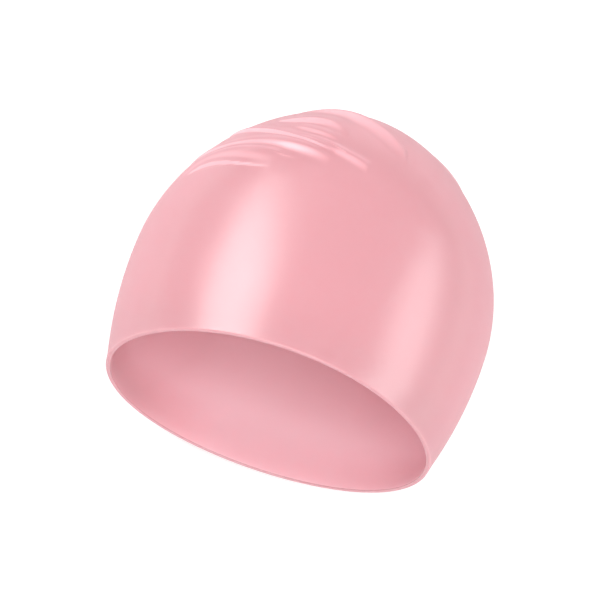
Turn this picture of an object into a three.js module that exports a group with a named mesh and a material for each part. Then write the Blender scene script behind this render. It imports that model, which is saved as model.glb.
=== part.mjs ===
// Swim cap of moulded silicone: one thin domed wall with a thicker band round its open rim.
// It lies on its right side, as it rests by itself on a table. Millimetres.
// +Y runs from the open rim to the crown, -X is the forehead, +X the back of the head, +Z is up.
import * as THREE from 'three';

// The dome, measured over its outer face
const capLength = 154.6;        // forehead to back of the head, at the widest
const capDepth = 130;           // side to side, at the widest
const capHeight = 142.8;        // rim plane to crown
const rimLength = 137.2;        // forehead to back, at the rim
const rimDepth = 121;           // side to side, at the rim
const lengthWidestAt = 56.5;    // height above the rim plane where the length is greatest
const depthWidestAt = 70.5;     // height above the rim plane where the depth is greatest
const crownLean = 2.3;          // the crown lies this far behind the middle of the rim
const crownNarrowing = 0.09;    // share by which the crown is slimmer than a round one
const narrowingPower = 2;       // how late towards the crown that narrowing comes
const sectionDroop = 0.043;     // share of the half depth by which the widest line lies low
const droopLoss = 0.5;          // share of that droop which is gone at the crown

// The wall and the band round the rim
const wallThickness = 1;
const bandThickness = 1.9;
const bandHeight = 5;
const lipRise = 0.35;           // the rim's edge stands out from the wall by this much
const lipHeight = 2.5;
const bandCorner = 0.5;         // rounding of the band's two edges

// The folds pressed into the wall near the crown
const foldRise = 1.1;
const foldWidth = 3.1;

// How finely the wall is divided
const columns = 48;
const wallRows = 56;
const bandRows = 3;
const cornerSteps = 2;
const columnGather = 0.4;       // share by which columns close up on the upper side
const rowGather = 0.35;         // share by which rows close up half way to the crown

// One row for each fold. from and to are degrees round the rim: 0 is the back of the head,
// 90 the upper side, 180 the forehead. start, middle and end are shares of the way from rim
// to crown, rise is a share of foldRise and width of foldWidth.
const folds = [
  { from: 94, to: 150, start: 0.505, middle: 0.545, end: 0.60, rise: 0.9, width: 0.95 },
  { from: 95, to: 122, start: 0.458, middle: 0.476, end: 0.50, rise: 0.5, width: 0.7 },
  { from: 80, to: 164, start: 0.378, middle: 0.465, end: 0.545, rise: 0.9, width: 0.9 },
  { from: 91, to: 174, start: 0.37, middle: 0.425, end: 0.405, rise: 1, width: 1.1 },
  { from: 102, to: 142, start: 0.365, middle: 0.392, end: 0.395, rise: 0.35, width: 0.7 },
  { from: 109, to: 156, start: 0.342, middle: 0.357, end: 0.322, rise: 0.5, width: 0.7 },
  { from: 64, to: 110, start: 0.465, middle: 0.583, end: 0.625, rise: 0.75, width: 1.3 },
  { from: 62, to: 146, start: 0.66, middle: 0.672, end: 0.65, rise: 0.8, width: 1.2 },
  { from: 8, to: 60, start: 0.60, middle: 0.62, end: 0.63, rise: 0.5, width: 1.2 },
  { from: -52, to: 20, start: 0.50, middle: 0.53, end: 0.52, rise: 0.5, width: 1.2 },
  { from: 170, to: 228, start: 0.56, middle: 0.54, end: 0.56, rise: 0.6, width: 1.1 },
  { from: 186, to: 250, start: 0.47, middle: 0.45, end: 0.48, rise: 0.6, width: 1.1 },
  { from: 236, to: 304, start: 0.58, middle: 0.56, end: 0.57, rise: 0.6, width: 1.2 },
  { from: 250, to: 326, start: 0.67, middle: 0.65, end: 0.66, rise: 0.5, width: 1.2 },
];

// A fold in section is a rounded ridge with a narrow crease on its rim side and a broad
// shallow valley on its crown side. Places and widths are in fold widths.
const foldSection = [
  { place: 0, width: 1, height: 1 },
  { place: -1.5, width: 0.7, height: -0.45 },
  { place: 2.1, width: 1.2, height: -0.35 },
];

const quarterTurn = Math.PI / 2;
const fullTurn = 2 * Math.PI;
const probe = 1e-4;             // step of the way and the angle when a slope is measured

const smooth = (share) => THREE.MathUtils.smoothstep(share, 0, 1);

// way is the share of the way from rim to crown; its steps are nearly even along the wall
const heightAt = (way) => capHeight * Math.sin(way * quarterTurn);
const wayAt = (height) => Math.asin(height / capHeight) / quarterTurn;

// Half width at a height: a soft flare from the rim to the widest, then an oval crown
function halfWidth(height, atRim, widest, widestAt) {
  if (height < widestAt) {
    return widest - (widest - atRim) * (1 - height / widestAt) ** 2;
  }
  const rise = Math.min((height - widestAt) / (capHeight - widestAt), 1);
  return widest * Math.sqrt(1 - rise * rise) * (1 - crownNarrowing * rise ** narrowingPower);
}

// The outer face without its folds
function domePoint(way, angle) {
  const height = heightAt(way);
  const halfLength = halfWidth(height, rimLength / 2, capLength / 2, lengthWidestAt);
  const halfDepth = halfWidth(height, rimDepth / 2, capDepth / 2, depthWidestAt);
  const droop = sectionDroop * (1 - droopLoss * height / capHeight);
  return new THREE.Vector3(
    crownLean * Math.sin(height / capHeight * quarterTurn) + halfLength * Math.cos(angle),
    height,
    halfDepth * (Math.sin(angle) - droop * Math.cos(2 * angle)),
  );
}

// Square to the dome, but square to the Y axis at the very rim, so that its end face is flat
function offsetDirection(way, angle) {
  if (way >= 1) {
    return new THREE.Vector3(0, 1, 0);
  }
  const alongWall = domePoint(way + probe, angle).sub(domePoint(way - probe, angle));
  const roundWall = domePoint(way, angle + probe).sub(domePoint(way, angle - probe));
  const direction = alongWall.cross(roundWall).normalize();
  direction.y *= smooth(heightAt(way) / bandHeight);
  return direction.normalize();
}

// Height of all folds together at one place of the wall. The middle line of a fold is the
// curve of second degree through its start, middle and end.
function foldHeight(way, angle) {
  const lengthPerWay = capHeight * quarterTurn * Math.cos(way * quarterTurn / 2);
  let height = 0;
  for (const fold of folds) {
    const turned = THREE.MathUtils.radToDeg(angle) - fold.from;
    const t = THREE.MathUtils.euclideanModulo(turned, 360) / (fold.to - fold.from);
    if (t >= 1) continue;
    const centre = fold.start * (1 - t) * (1 - 2 * t)
      + fold.middle * 4 * t * (1 - t) + fold.end * t * (2 * t - 1);
    const across = (way - centre) * lengthPerWay / (foldWidth * fold.width);
    const taper = Math.sin(Math.PI * t);
    for (const wave of foldSection) {
      const reach = (across - wave.place) / wave.width;
      height += foldRise * fold.rise * taper * wave.height * Math.exp(-reach * reach);
    }
  }
  return height;
}

const lipAt = (height) => lipRise * (1 - smooth(height / lipHeight));
const thicknessAt = (height) => wallThickness
  + (bandThickness - wallThickness) * (1 - smooth(height / bandHeight));

function wallPoint({ way, inset }, angle) {
  const offset = lipAt(heightAt(way)) + foldHeight(way, angle) - inset;
  return domePoint(way, angle).addScaledVector(offsetDirection(way, angle), offset);
}

// Ways up the wall, from the band's rounded edge to the crown
function wallWays(corner) {
  const ways = [];
  for (let i = 0; i < bandRows; i += 1) {
    ways.push(wayAt(corner + (bandHeight - corner) * i / bandRows));
  }
  const bandTop = wayAt(bandHeight);
  for (let i = 0; i <= wallRows; i += 1) {
    const even = i / wallRows;
    const gathered = even + rowGather / fullTurn * Math.sin(fullTurn * even);
    ways.push(bandTop + (1 - bandTop) * gathered);
  }
  return ways;
}

// The wall in section: down the outer face from the crown, round the rim, up the inner face.
// The two rounded edges leave a flat ring between them, also on a thinner band.
function wallSection() {
  const corner = Math.min(bandCorner, bandThickness / 3);
  const outer = wallWays(corner).map((way) => ({ way, inset: 0 }));
  const inner = outer.map(({ way }) => ({ way, inset: thicknessAt(heightAt(way)) }));
  const edge = [];
  for (let i = 1; i <= cornerSteps; i += 1) {
    const turn = quarterTurn * i / cornerSteps;
    const way = wayAt(corner * (1 - Math.sin(turn)));
    edge.push({ way, inset: corner * (1 - Math.cos(turn)) });
  }
  const innerEdge = edge.map(({ way, inset }) => (
    { way, inset: thicknessAt(heightAt(way)) - inset }
  ));
  return [...outer.reverse(), ...edge, ...innerEdge.reverse(), ...inner];
}

// Angles round the rim, closer together on the upper side; the lowest facet lies level
function columnAngles() {
  return Array.from({ length: columns }, (_, i) => {
    const even = fullTurn * (i + 0.5) / columns - quarterTurn;
    return even + columnGather * Math.cos(even);
  });
}

// Rings of points joined by triangles; the first and last rings are single points
function ringGeometry(section, angles) {
  const rings = section.map((station, row) => {
    const isPole = row === 0 || row === section.length - 1;
    return (isPole ? [0] : angles).map((angle) => wallPoint(station, angle));
  });
  const firstIndex = [0];
  rings.forEach((ring) => firstIndex.push(firstIndex.at(-1) + ring.length));
  const triangles = [];
  for (let row = 0; row < rings.length - 1; row += 1) {
    for (let column = 0; column < angles.length; column += 1) {
      const next = (column + 1) % angles.length;
      const here = (ringRow, place) => firstIndex[ringRow] + place % rings[ringRow].length;
      if (rings[row].length > 1) {
        triangles.push(here(row, column), here(row, next), here(row + 1, next));
      }
      if (rings[row + 1].length > 1) {
        triangles.push(here(row, column), here(row + 1, next), here(row + 1, column));
      }
    }
  }
  const geometry = new THREE.BufferGeometry().setFromPoints(rings.flat());
  geometry.setIndex(triangles);
  geometry.computeVertexNormals();
  return geometry;
}

// The origin is the middle of the box that the cap fills, on the surface it lies on
function standOnFloor(geometry) {
  geometry.computeBoundingBox();
  const middle = geometry.boundingBox.getCenter(new THREE.Vector3());
  return geometry.translate(-middle.x, -middle.y, -geometry.boundingBox.min.z);
}

const silicone = new THREE.MeshStandardMaterial({ color: 0xf5b2b9, roughness: 0.38, metalness: 0 });
const capShell = new THREE.Mesh(
  standOnFloor(ringGeometry(wallSection(), columnAngles())),
  silicone,
);
capShell.name = 'cap_shell';

const swimCap = new THREE.Group();
swimCap.name = 'swim_cap';
swimCap.add(capShell);

export default swimCap;
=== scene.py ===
import math

import bpy
import numpy as np
from mathutils import Matrix, Vector


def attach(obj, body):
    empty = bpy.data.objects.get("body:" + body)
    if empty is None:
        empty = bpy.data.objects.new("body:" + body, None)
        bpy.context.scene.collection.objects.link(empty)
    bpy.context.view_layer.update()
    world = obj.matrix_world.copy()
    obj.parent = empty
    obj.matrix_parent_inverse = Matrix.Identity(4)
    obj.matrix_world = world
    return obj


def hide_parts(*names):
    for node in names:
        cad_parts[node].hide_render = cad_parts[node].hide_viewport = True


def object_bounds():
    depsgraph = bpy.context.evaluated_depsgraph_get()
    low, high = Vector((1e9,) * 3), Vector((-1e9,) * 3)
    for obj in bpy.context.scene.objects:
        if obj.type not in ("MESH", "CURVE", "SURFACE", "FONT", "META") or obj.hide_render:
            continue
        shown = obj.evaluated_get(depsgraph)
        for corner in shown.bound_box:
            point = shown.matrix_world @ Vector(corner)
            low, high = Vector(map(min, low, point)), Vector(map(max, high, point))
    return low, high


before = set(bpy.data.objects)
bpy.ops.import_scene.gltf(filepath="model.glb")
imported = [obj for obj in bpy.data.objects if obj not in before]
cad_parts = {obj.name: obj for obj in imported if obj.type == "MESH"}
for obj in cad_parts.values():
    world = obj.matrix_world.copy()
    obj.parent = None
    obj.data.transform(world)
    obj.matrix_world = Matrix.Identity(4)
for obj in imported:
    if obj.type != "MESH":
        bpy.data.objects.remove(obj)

cadLow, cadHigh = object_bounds()
print("frame loaded, box in mm:", [round(1000 * side, 1) for side in cadHigh - cadLow])

# The cap lies on its right side: +Y runs from the open rim to the crown, -X is the forehead,
# +X the back of the head and +Z is up. Everything is in metres.

capSize = {
    "length": cadHigh.x - cadLow.x,    # forehead to back of the head, at the widest
    "height": cadHigh.y - cadLow.y,    # rim plane to crown
    "depth": cadHigh.z - cadLow.z,     # side to side, at the widest
    "rimLength": 0.1372,
    "rimDepth": 0.121,
    "lengthWidestAt": 0.0565,          # height above the rim plane where the length is greatest
    "depthWidestAt": 0.0705,
    "crownLean": 0.0023,               # the crown lies this far behind the middle of the rim
    "crownNarrowing": 0.09,            # share by which the crown is slimmer than a round one
    "narrowingPower": 2,
    "sectionDroop": 0.043,             # share of the half depth by which the widest line lies low
    "droopLoss": 0.5,                  # share of that droop which is gone at the crown
}

capWall = {
    "thickness": 0.001,
    "bandThickness": 0.0019,           # at the rim's edge
    "bandHeight": 0.025,               # the wall thins over this height
    "flatHeight": 0.005,               # below this the wall's two faces turn square to the rim
    "lipRise": 0.00035,                # the rim's edge stands out from the wall by this much
    "lipHeight": 0.0025,
    "corner": 0.0005,                  # rounding of the band's two edges
}

capGrid = {
    "columns": 240,
    "outerRows": 250,
    "innerRows": 110,
    "bandRows": 8,
    "cornerSteps": 5,
    "columnGather": 0.4,               # share by which columns close up on the upper side
    "rowGather": 0.45,                 # share by which rows close up half way to the crown
}

# One row for each fold: from and to in degrees round the rim (0 back of the head, 90 upper
# side, 180 forehead); way0 to way3 place its steep face as shares of the way from rim to crown,
# at its two ends and at the thirds between; rise, width of the steep face at both ends and
# width of the back in millimetres; peak is the share of the fold at which it is highest.
foldColumns = ("from", "to", "way0", "way1", "way2", "way3", "rise", "faceStart", "faceEnd",
               "back", "peak")
foldRows = [
    (116, 150, 0.354, 0.360, 0.3675, 0.356, 0.55, 0.7, 0.8, 2.0, 0.62),
    (115, 160, 0.365, 0.3825, 0.379, 0.360, 1.60, 6.0, 6.0, 4.2, 0.42),
    (99, 166, 0.397, 0.428, 0.4325, 0.439, 1.25, 3.8, 1.0, 4.5, 0.30),
    (109, 127, 0.384, 0.392, 0.402, 0.410, 0.25, 0.9, 0.9, 1.6, 0.45),
    (101, 163, 0.429, 0.4715, 0.511, 0.550, 1.10, 1.2, 1.2, 4.5, 0.40),
    (95, 114, 0.434, 0.450, 0.463, 0.470, 0.50, 0.9, 0.9, 2.2, 0.40),
    (87, 113, 0.406, 0.426, 0.441, 0.458, 0.85, 3.6, 0.9, 2.6, 0.22),
    (99, 120, 0.473, 0.483, 0.496, 0.509, 0.95, 3.2, 1.8, 4.5, 0.42),
    (98, 130, 0.502, 0.543, 0.544, 0.552, 1.60, 5.5, 0.4, 7.0, 0.40),
    (75, 132, 0.505, 0.605, 0.652, 0.655, 2.20, 8.0, 3.0, 2.4, 0.28),
    (8, 60, 0.600, 0.615, 0.625, 0.630, 0.60, 3.6, 2.4, 5.0, 0.50),
    (-52, 20, 0.500, 0.525, 0.530, 0.520, 0.60, 3.6, 2.4, 5.0, 0.50),
    (170, 228, 0.560, 0.545, 0.545, 0.560, 0.70, 3.0, 2.4, 5.0, 0.50),
    (186, 250, 0.470, 0.455, 0.455, 0.480, 0.70, 3.0, 2.4, 5.0, 0.50),
    (236, 304, 0.580, 0.565, 0.560, 0.570, 0.70, 3.6, 2.4, 5.0, 0.50),
    (250, 326, 0.670, 0.655, 0.650, 0.660, 0.60, 3.6, 2.4, 5.0, 0.50),
]

# Where a fold's steep face meets the wall a narrow crease runs along it. Place and width are in
# widths of the face, height is a share of the rise.
crease = {"place": -1.8, "width": 0.5, "height": -0.05}
crestAt = 0.7                          # the crest lies this many face widths above the face
foldFullness = 0.8                     # below 1, a fold keeps its height nearer to its ends
# extra share of the slope mask at the rim's edge, which gives a paler line along the rim as a
# painted highlight
rimPaintedHighlight = {"amount": 0.14, "height": 0.001}

# painted shade inside the cap: the inner wall turns to the deeper tone further in and on the
# forehead side, which faces away from the light
paintedShadeInside = {
    "within": 0.6,
    "way": 0.24,                       # share of the way to the crown where this is reached
    "side": 1.0,
    "sideFrom": 0.015,
    "sideOver": 0.05,
}

quarterTurn = math.pi / 2
fullTurn = 2 * math.pi
probe = 1e-4                           # step of the way and the angle when a slope is measured


def smooth(share):
    # 3 s^2 - 2 s^3 between 0 and 1
    s = np.clip(share, 0, 1)
    return s * s * (3 - 2 * s)


def heightAt(way):
    # way is the share of the way from rim to crown: height = H sin(way * 90 degrees)
    return capSize["height"] * np.sin(way * quarterTurn)


def wayAt(height):
    return np.arcsin(height / capSize["height"]) / quarterTurn


def halfWidth(height, atRim, widest, widestAt):
    # below the widest: a parabola from the rim; above: a quarter ellipse, narrowed to the crown
    flare = widest - (widest - atRim) * (1 - height / widestAt) ** 2
    rise = np.clip((height - widestAt) / (capSize["height"] - widestAt), 0, 1)
    narrowing = 1 - capSize["crownNarrowing"] * rise ** capSize["narrowingPower"]
    dome = widest * np.sqrt(1 - rise * rise) * narrowing
    return np.where(height < widestAt, flare, dome)


def domePoint(way, angle):
    # x = lean + halfLength cos a, y = height, z = halfDepth (sin a - droop cos 2a)
    height = heightAt(way)
    share = height / capSize["height"]
    halfLength = halfWidth(height, capSize["rimLength"] / 2, capSize["length"] / 2,
                           capSize["lengthWidestAt"])
    halfDepth = halfWidth(height, capSize["rimDepth"] / 2, capSize["depth"] / 2,
                          capSize["depthWidestAt"])
    droop = capSize["sectionDroop"] * (1 - capSize["droopLoss"] * share)
    x = capSize["crownLean"] * np.sin(share * quarterTurn) + halfLength * np.cos(angle)
    z = halfDepth * (np.sin(angle) - droop * np.cos(2 * angle))
    return np.stack(np.broadcast_arrays(x, height, z), -1)


def offsetDirection(way, angle):
    # square to the dome, but square to the Y axis at the very rim, so that its end face is flat
    alongWall = domePoint(way + probe, angle) - domePoint(way - probe, angle)
    roundWall = domePoint(way, angle + probe) - domePoint(way, angle - probe)
    direction = np.cross(alongWall, roundWall)
    direction /= np.linalg.norm(direction, axis=-1, keepdims=True)
    direction[..., 1] *= smooth(heightAt(way) / capWall["flatHeight"])
    direction /= np.linalg.norm(direction, axis=-1, keepdims=True)
    return direction


def foldHeight(way, angle):
    # each fold adds rise * sin(pi t^p)^fullness * exp(-(distance from the crest / width)^2),
    # with one width on the face and another on the back; t runs from 0 to 1 along the fold and
    # the face's middle line is the curve of third degree through its four ways
    lengthPerWay = 1000 * capSize["height"] * quarterTurn * np.cos(way * quarterTurn / 2)
    height = np.zeros(np.broadcast(way, angle).shape)
    for row in foldRows:
        fold = dict(zip(foldColumns, row))
        t = np.mod(np.degrees(angle) - fold["from"], 360) / (fold["to"] - fold["from"])
        within = t < 1
        t = np.minimum(t, 1)
        power = math.log(0.5) / math.log(fold["peak"])
        taper = within * np.clip(np.sin(np.pi * t ** power), 0, 1) ** foldFullness
        u = 3 * t
        middle = ((1 - u) * (2 - u) * (3 - u) / 6 * fold["way0"]
                  + u * (2 - u) * (3 - u) / 2 * fold["way1"]
                  + u * (u - 1) * (3 - u) / 2 * fold["way2"]
                  + u * (u - 1) * (u - 2) / 6 * fold["way3"])
        face = fold["faceStart"] + (fold["faceEnd"] - fold["faceStart"]) * t
        across = (way - middle) * lengthPerWay - crestAt * face
        ridge = np.exp(-(across / np.where(across < 0, face, fold["back"])) ** 2)
        groove = np.exp(-((across / face - crease["place"]) / crease["width"]) ** 2)
        height += 0.001 * fold["rise"] * taper * (ridge + crease["height"] * groove)
    return height


def paintedLightSlope(way, angle):
    # rise of the folds per length along the wall towards the crown, above 0 on their steep faces,
    # plus a share at the rim's edge; it masks the painted highlight on fold faces and rim edge
    # and the painted shading on fold backs
    step = probe * capSize["height"] * quarterTurn * np.cos(way * quarterTurn / 2)
    slope = (foldHeight(way + probe, angle) - foldHeight(way - probe, angle)) / (2 * step)
    return slope + rimPaintedHighlight["amount"] * (1 - smooth(heightAt(way) / rimPaintedHighlight["height"]))


def thicknessAt(height):
    extra = capWall["bandThickness"] - capWall["thickness"]
    return capWall["thickness"] + extra * (1 - smooth(height / capWall["bandHeight"]))


def wallPoint(way, inset, angle):
    # the dome, moved square to itself by lip + folds - inset
    lip = capWall["lipRise"] * (1 - smooth(heightAt(way) / capWall["lipHeight"]))
    offset = lip + foldHeight(way, angle) - inset
    return domePoint(way, angle) + offset[..., None] * offsetDirection(way, angle)


def wallWays(rows):
    # from the band's rounded edge to just short of the crown, closer together half way up
    bandTop = wayAt(capWall["bandHeight"])
    bandShare = np.arange(capGrid["bandRows"]) / capGrid["bandRows"]
    band = wayAt(capWall["corner"] + (capWall["bandHeight"] - capWall["corner"]) * bandShare)
    even = np.arange(rows) / rows
    gathered = even + capGrid["rowGather"] / fullTurn * np.sin(fullTurn * even)
    return np.concatenate([band, bandTop + (1 - bandTop) * gathered])


def wallSection():
    # ways and insets: down the outer face from the crown, round the rim, up the inner face
    outer = wallWays(capGrid["outerRows"])[::-1]
    inner = wallWays(capGrid["innerRows"])
    turn = quarterTurn * np.arange(1, capGrid["cornerSteps"] + 1) / capGrid["cornerSteps"]
    edge = wayAt(capWall["corner"] * (1 - np.sin(turn)))
    edgeInset = capWall["corner"] * (1 - np.cos(turn))
    ways = np.concatenate([outer, edge, edge[::-1], inner])
    innerEdgeInset = thicknessAt(heightAt(edge)) - edgeInset
    insets = np.concatenate([0 * outer, edgeInset, innerEdgeInset[::-1],
                             thicknessAt(heightAt(inner))])
    return ways, insets, len(outer) + 2 * len(edge)


def paintedShadeShare(ways, points, outerCount):
    # share of painted shade: much of it far inside the cap, all of it on the inner wall of the
    # forehead side, which faces away from the light
    within = paintedShadeInside["within"] * smooth(ways / paintedShadeInside["way"])[:, None]
    reach = (-points[..., 0] - paintedShadeInside["sideFrom"]) / paintedShadeInside["sideOver"]
    side = paintedShadeInside["side"] * smooth(reach)
    isInner = (np.arange(len(ways)) >= outerCount)[:, None]
    return np.clip(isInner * (within + side), 0, 1)


def ringFaces(rings, columns):
    # quads between neighbouring rings of points, and a fan of triangles to each pole
    ring = np.arange(rings - 1)[:, None] * columns
    column = np.arange(columns)[None, :]
    following = (column + 1) % columns
    first = 1
    corners = [ring + column, ring + following, ring + columns + following,
               ring + columns + column]
    quads = first + np.stack(corners, -1).reshape(-1, 4)
    lastRing = first + (rings - 1) * columns
    outerPole = np.stack([0 * column, first + following, first + column], -1).reshape(-1, 3)
    innerPole = np.stack([lastRing + column, lastRing + following,
                          0 * column + first + rings * columns], -1).reshape(-1, 3)
    return quads, outerPole, innerPole


def makeCap(name):
    ways, insets, outerCount = wallSection()
    even = fullTurn * (np.arange(capGrid["columns"]) + 0.5) / capGrid["columns"] - quarterTurn
    angles = even + capGrid["columnGather"] * np.cos(even)
    rings = wallPoint(ways[:, None], insets[:, None], angles[None, :])
    crown = np.array([capSize["crownLean"], capSize["height"], 0.0])
    innerCrown = crown - np.array([0, capWall["thickness"], 0])
    points = np.concatenate([[crown], rings.reshape(-1, 3), [innerCrown]])
    middle = (points.min(0) + points.max(0)) / 2
    target = np.array([(cadLow.x + cadHigh.x) / 2, (cadLow.y + cadHigh.y) / 2, cadLow.z])
    points += target - np.array([middle[0], middle[1], points[:, 2].min()])
    quads, outerPole, innerPole = ringFaces(len(ways), capGrid["columns"])
    mesh = bpy.data.meshes.new(name)
    faces = quads.tolist() + outerPole.tolist() + innerPole.tolist()
    mesh.from_pydata(points.tolist(), [], faces)
    isInner = np.concatenate([np.arange(len(quads)) // capGrid["columns"] >= outerCount,
                              np.zeros(len(outerPole), bool), np.ones(len(innerPole), bool)])
    mesh.polygons.foreach_set("material_index", isInner.astype(np.int32))
    mesh.polygons.foreach_set("use_smooth", np.ones(len(mesh.polygons), bool))
    # slope mask for the painted light on the folds and the rim's edge
    lightMask = paintedLightSlope(ways[:, None], angles[None, :]).ravel()
    # share of painted shade on the inner wall
    depth = paintedShadeShare(ways, rings, outerCount).ravel()
    innerPoleShade = paintedShadeInside["within"]
    for label, ring, innerPoleValue in (("painted_light_slope", lightMask, 0.0),
                                        ("painted_shade_inside", depth, innerPoleShade)):
        attribute = mesh.attributes.new(label, "FLOAT", "POINT")
        values = np.concatenate([[0.0], ring, [innerPoleValue]]).astype(np.float32)
        attribute.data.foreach_set("value", values)
    mesh.validate()
    mesh.update()
    cap = bpy.data.objects.new(name, mesh)
    bpy.context.scene.collection.objects.link(cap)
    return cap


# Materials

silicone = {
    "translucence": 0.85,
    "scatter": (1.0, 0.85, 0.85),
    "scatterDepth": 0.003,
}

siliconeOutside = {
    "main": (0.589, 0.296, 0.326, 1),
    "deep": (0.49, 0.225, 0.258, 1),
    "foldFacePaintedLight": (0.80, 0.435, 0.475, 1),   # painted highlight on the steep faces of the folds
    "foldBackPaintedShading": (0.62, 0.315, 0.35, 1),    # painted shading on the backs and creases of the folds, set a little lighter than the main tone to lift the shade there
    "gloss": 0.3,
    "edgeMatt": 1.0,                       # how matt the wall is where it is seen along its face
    "shine": 0.75,
    "grainDepth": 0.00002,
}

siliconeInside = {
    # painted light: the inside's tones are set much lighter than the outside's, to make up for
    # the light the hollow does not get
    "main": (0.965, 0.595, 0.638, 1),
    # deeper tone of the inside, for the random drift and for the painted shade further in
    "deep": (0.75, 0.466, 0.503, 1),
    # painted light on the steep fold faces and painted shading on their backs, on the inner wall
    "foldFacePaintedLight": (0.90, 0.58, 0.62, 1),
    "foldBackPaintedShading": (0.76, 0.47, 0.505, 1),
    "gloss": 0.5,
    "edgeMatt": 0,
    "shine": 0.75,
    "grainDepth": 0.00004,
}


def newSocket(group, name, direction, kind, value=None):
    socket = group.interface.new_socket(name=name, in_out=direction, socket_type=kind)
    if value is not None:
        socket.default_value = value
    return socket


def makeToneGroup():
    # a colour that drifts softly at random between two tones, with painted shade inside the cap,
    # a painted highlight on steep fold faces and painted shading on their backs
    group = bpy.data.node_groups.new("siliconeTone", "ShaderNodeTree")
    newSocket(group, "Main", "INPUT", "NodeSocketColor")
    newSocket(group, "Deep", "INPUT", "NodeSocketColor")
    newSocket(group, "Fold Face Painted Light", "INPUT", "NodeSocketColor")
    newSocket(group, "Fold Back Painted Shading", "INPUT", "NodeSocketColor")
    newSocket(group, "Painted Light Slope", "INPUT", "NodeSocketFloat", 0.0)
    newSocket(group, "Cloud Scale", "INPUT", "NodeSocketFloat", 20.0)
    newSocket(group, "Amount", "INPUT", "NodeSocketFloat", 0.3)
    newSocket(group, "Depth", "INPUT", "NodeSocketFloat", 0.0)
    newSocket(group, "Color", "OUTPUT", "NodeSocketColor")
    nodes, links = group.nodes, group.links
    inputs = nodes.new("NodeGroupInput")
    outputs = nodes.new("NodeGroupOutput")
    place = nodes.new("ShaderNodeTexCoord")
    cloud = nodes.new("ShaderNodeTexNoise")
    cloud.inputs["Detail"].default_value = 3
    # share of the deeper tone: the random cloud times Amount, plus the share of painted shade
    amount = nodes.new("ShaderNodeMath")
    amount.operation = "MULTIPLY_ADD"
    amount.use_clamp = True
    links.new(place.outputs["Object"], cloud.inputs["Vector"])
    links.new(inputs.outputs["Cloud Scale"], cloud.inputs["Scale"])
    links.new(cloud.outputs["Fac"], amount.inputs[0])
    links.new(inputs.outputs["Amount"], amount.inputs[1])
    links.new(inputs.outputs["Depth"], amount.inputs[2])
    color = inputs.outputs["Main"]
    masks = [("Deep", amount.outputs[0])]
    # painted highlight on the steep fold faces and painted shading on their backs, masked by the
    # slope
    for name, first, last in (("Fold Face Painted Light", 0.03, 0.34), ("Fold Back Painted Shading", -0.05, -0.32)):
        share = nodes.new("ShaderNodeMapRange")
        share.interpolation_type = "SMOOTHSTEP"
        share.inputs["From Min"].default_value = first
        share.inputs["From Max"].default_value = last
        links.new(inputs.outputs["Painted Light Slope"], share.inputs["Value"])
        masks.append((name, share.outputs["Result"]))
    for name, mask in masks:
        mix = nodes.new("ShaderNodeMix")
        mix.data_type = "RGBA"
        links.new(mask, mix.inputs["Factor"])
        links.new(color, mix.inputs["A"])
        links.new(inputs.outputs[name], mix.inputs["B"])
        color = mix.outputs["Result"]
    links.new(color, outputs.inputs["Color"])
    return group


def makeGrainGroup():
    # fine grain left by the mould, with broad patches that are a little more matt
    group = bpy.data.node_groups.new("mouldGrain", "ShaderNodeTree")
    newSocket(group, "Grain Scale", "INPUT", "NodeSocketFloat", 3000.0)
    newSocket(group, "Patch Scale", "INPUT", "NodeSocketFloat", 40.0)
    newSocket(group, "Gloss", "INPUT", "NodeSocketFloat", 0.35)
    newSocket(group, "Patch Amount", "INPUT", "NodeSocketFloat", 0.06)
    newSocket(group, "Height", "OUTPUT", "NodeSocketFloat")
    newSocket(group, "Roughness", "OUTPUT", "NodeSocketFloat")
    nodes, links = group.nodes, group.links
    inputs = nodes.new("NodeGroupInput")
    outputs = nodes.new("NodeGroupOutput")
    place = nodes.new("ShaderNodeTexCoord")
    grain = nodes.new("ShaderNodeTexNoise")
    grain.inputs["Detail"].default_value = 2
    patch = nodes.new("ShaderNodeTexNoise")
    patch.inputs["Detail"].default_value = 4
    centred = nodes.new("ShaderNodeMath")
    centred.operation = "SUBTRACT"
    centred.inputs[1].default_value = 0.5
    rough = nodes.new("ShaderNodeMath")
    rough.operation = "MULTIPLY_ADD"
    links.new(place.outputs["Object"], grain.inputs["Vector"])
    links.new(place.outputs["Object"], patch.inputs["Vector"])
    links.new(inputs.outputs["Grain Scale"], grain.inputs["Scale"])
    links.new(inputs.outputs["Patch Scale"], patch.inputs["Scale"])
    links.new(patch.outputs["Fac"], centred.inputs[0])
    links.new(centred.outputs[0], rough.inputs[0])
    links.new(inputs.outputs["Patch Amount"], rough.inputs[1])
    links.new(inputs.outputs["Gloss"], rough.inputs[2])
    links.new(grain.outputs["Fac"], outputs.inputs["Height"])
    links.new(rough.outputs[0], outputs.inputs["Roughness"])
    return group


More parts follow.
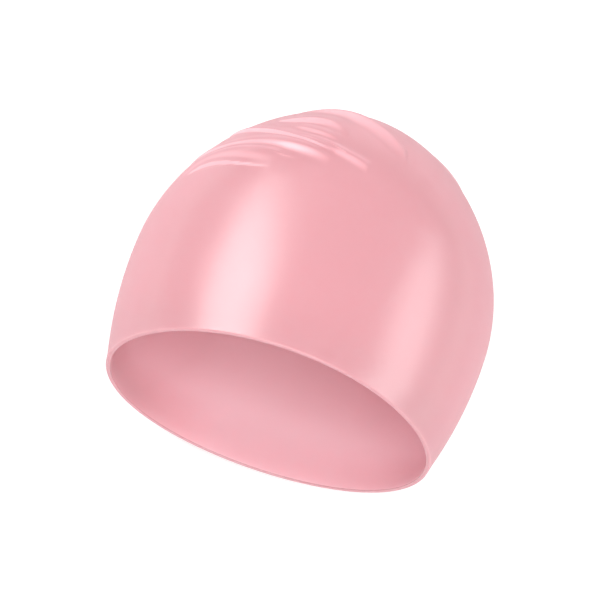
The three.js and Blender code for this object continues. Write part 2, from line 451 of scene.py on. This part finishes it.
def makeSilicone(name, groups, kind):
    material = bpy.data.materials.new(name)
    material.use_nodes = True
    nodes, links = material.node_tree.nodes, material.node_tree.links
    shader = nodes["Principled BSDF"]
    shader.inputs["IOR"].default_value = 1.5
    shader.inputs["Specular IOR Level"].default_value = kind["shine"]
    shader.inputs["Subsurface Weight"].default_value = silicone["translucence"]
    shader.inputs["Subsurface Radius"].default_value = silicone["scatter"]
    shader.inputs["Subsurface Scale"].default_value = silicone["scatterDepth"]
    tone = nodes.new("ShaderNodeGroup")
    tone.node_tree = groups["tone"]
    tone.inputs["Main"].default_value = kind["main"]
    tone.inputs["Deep"].default_value = kind["deep"]
    tone.inputs["Fold Face Painted Light"].default_value = kind["foldFacePaintedLight"]
    tone.inputs["Fold Back Painted Shading"].default_value = kind["foldBackPaintedShading"]
    tone.inputs["Cloud Scale"].default_value = 28
    tone.inputs["Amount"].default_value = 0.12
    grain = nodes.new("ShaderNodeGroup")
    grain.node_tree = groups["grain"]
    grain.inputs["Grain Scale"].default_value = 2200
    grain.inputs["Patch Scale"].default_value = 45
    grain.inputs["Gloss"].default_value = kind["gloss"]
    grain.inputs["Patch Amount"].default_value = 0.08
    bump = nodes.new("ShaderNodeBump")
    bump.inputs["Distance"].default_value = kind["grainDepth"]
    bump.inputs["Strength"].default_value = 0.5
    # slope mask for the painted light on the folds and the rim's edge
    lightMask = nodes.new("ShaderNodeAttribute")
    lightMask.attribute_name = "painted_light_slope"
    links.new(lightMask.outputs["Fac"], tone.inputs["Painted Light Slope"])
    # share of painted shade on the inner wall
    depth = nodes.new("ShaderNodeAttribute")
    depth.attribute_name = "painted_shade_inside"
    links.new(depth.outputs["Fac"], tone.inputs["Depth"])
    links.new(tone.outputs["Color"], shader.inputs["Base Color"])
    view = nodes.new("ShaderNodeLayerWeight")
    view.inputs["Blend"].default_value = 0.5
    edge = nodes.new("ShaderNodeMapRange")
    edge.interpolation_type = "SMOOTHSTEP"
    edge.inputs["From Min"].default_value = 0.38
    edge.inputs["From Max"].default_value = 0.64
    edge.inputs["To Max"].default_value = kind["edgeMatt"]
    edgeMix = nodes.new("ShaderNodeMix")
    edgeMix.inputs["B"].default_value = 1.0
    links.new(view.outputs["Facing"], edge.inputs["Value"])
    links.new(edge.outputs["Result"], edgeMix.inputs["Factor"])
    links.new(grain.outputs["Roughness"], edgeMix.inputs["A"])
    links.new(edgeMix.outputs["Result"], shader.inputs["Roughness"])
    links.new(grain.outputs["Height"], bump.inputs["Height"])
    links.new(bump.outputs["Normal"], shader.inputs["Normal"])
    return material


# Stage, lights and camera

stage = {
    "floorHalf": 12.0,
    "floorColor": (0.50, 0.497, 0.497, 1),
    "floorGlow": 0.56,                  # the table lights itself a little, so shadows stay pale
    "worldColor": (1.0, 0.985, 0.985, 1),
    "worldStrength": 0.42,
}

# direction and distance from the aim, the way of the long side, width and length in metres,
# power in watts
softboxes = [
    {"name": "leftStrip", "aim": (0, 0, 0.065), "direction": (-0.652, 0.23, 0.71),
     "distance": 0.9, "longSide": (-0.64, -1, -0.13), "width": 0.54, "length": 0.46,
     "power": 5.1},
    {"name": "rightStrip", "aim": (0, 0, 0.065), "direction": (0.86, 0.19, 0.42),
     "distance": 0.9, "longSide": (0.18, -0.33, -0.145), "width": 0.34, "length": 0.66,
     "power": 3.0},
    {"name": "frontBox", "aim": (0, 0, 0.065), "direction": (0.08, -0.485, 0.87),
     "distance": 1.3, "longSide": (1, 0, 0), "width": 0.6, "length": 1.0, "power": 12.0},
]

cameraSet = {
    "aim": (-0.00425, -0.0162, 0.0629),
    "elevation": 61.45,
    "roll": 19.31,
    "distance": 0.7,
    "lens": 100,
    "sensor": 36,
}


def makeFloor():
    half = stage["floorHalf"]
    mesh = bpy.data.meshes.new("floor")
    corners = [(-half, -half, 0), (half, -half, 0), (half, half, 0), (-half, half, 0)]
    mesh.from_pydata(corners, [], [(0, 1, 2, 3)])
    floor = bpy.data.objects.new("floor", mesh)
    bpy.context.scene.collection.objects.link(floor)
    material = bpy.data.materials.new("paleFloor")
    material.use_nodes = True
    shader = material.node_tree.nodes["Principled BSDF"]
    shader.inputs["Base Color"].default_value = stage["floorColor"]
    shader.inputs["Roughness"].default_value = 0.8
    shader.inputs["Emission Color"].default_value = (1, 1, 1, 1)
    shader.inputs["Emission Strength"].default_value = stage["floorGlow"]
    shader.inputs["Specular IOR Level"].default_value = 0.2
    mesh.materials.append(material)
    return floor


def makeWorld():
    world = bpy.data.worlds.new("studio")
    world.use_nodes = True
    background = world.node_tree.nodes["Background"]
    background.inputs["Color"].default_value = stage["worldColor"]
    background.inputs["Strength"].default_value = stage["worldStrength"]
    bpy.context.scene.world = world


def makeSoftbox(box):
    light = bpy.data.lights.new(box["name"], "AREA")
    light.shape = "RECTANGLE"
    light.size = box["width"]
    light.size_y = box["length"]
    light.energy = box["power"]
    lamp = bpy.data.objects.new(box["name"], light)
    back = Vector(box["direction"]).normalized()
    longSide = Vector(box["longSide"])
    along = (longSide - back * longSide.dot(back)).normalized()
    across = along.cross(back)
    turn = Matrix((across, along, back)).transposed().to_4x4()
    lamp.matrix_world = Matrix.Translation(Vector(box["aim"]) + back * box["distance"]) @ turn
    bpy.context.scene.collection.objects.link(lamp)
    return lamp


def makeCamera():
    data = bpy.data.cameras.new("camera")
    data.lens = cameraSet["lens"]
    data.sensor_width = cameraSet["sensor"]
    data.clip_start = 0.01
    elevation = math.radians(cameraSet["elevation"])
    roll = math.radians(cameraSet["roll"])
    back = Vector((0, -math.cos(elevation), math.sin(elevation)))
    levelRight = Vector((1, 0, 0))
    levelUp = back.cross(levelRight)
    right = math.cos(roll) * levelRight + math.sin(roll) * levelUp
    up = back.cross(right)
    camera = bpy.data.objects.new("camera", data)
    turn = Matrix((right, up, back)).transposed().to_4x4()
    eye = Vector(cameraSet["aim"]) + back * cameraSet["distance"]
    camera.matrix_world = Matrix.Translation(eye) @ turn
    bpy.context.scene.collection.objects.link(camera)
    bpy.context.scene.camera = camera
    return camera


makeCamera()
makeWorld()
makeFloor()
for box in softboxes:
    makeSoftbox(box)
bpy.context.scene.view_settings.view_transform = "Standard"
print("camera, floor and lights are in place")

groups = {"tone": makeToneGroup(), "grain": makeGrainGroup()}
swimCap = makeCap("swim_cap")
swimCap.data.materials.append(makeSilicone("siliconeOutside", groups, siliconeOutside))
swimCap.data.materials.append(makeSilicone("siliconeInside", groups, siliconeInside))
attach(swimCap, "root")
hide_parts("cap_shell")
print("swim cap made:", len(swimCap.data.polygons), "faces")
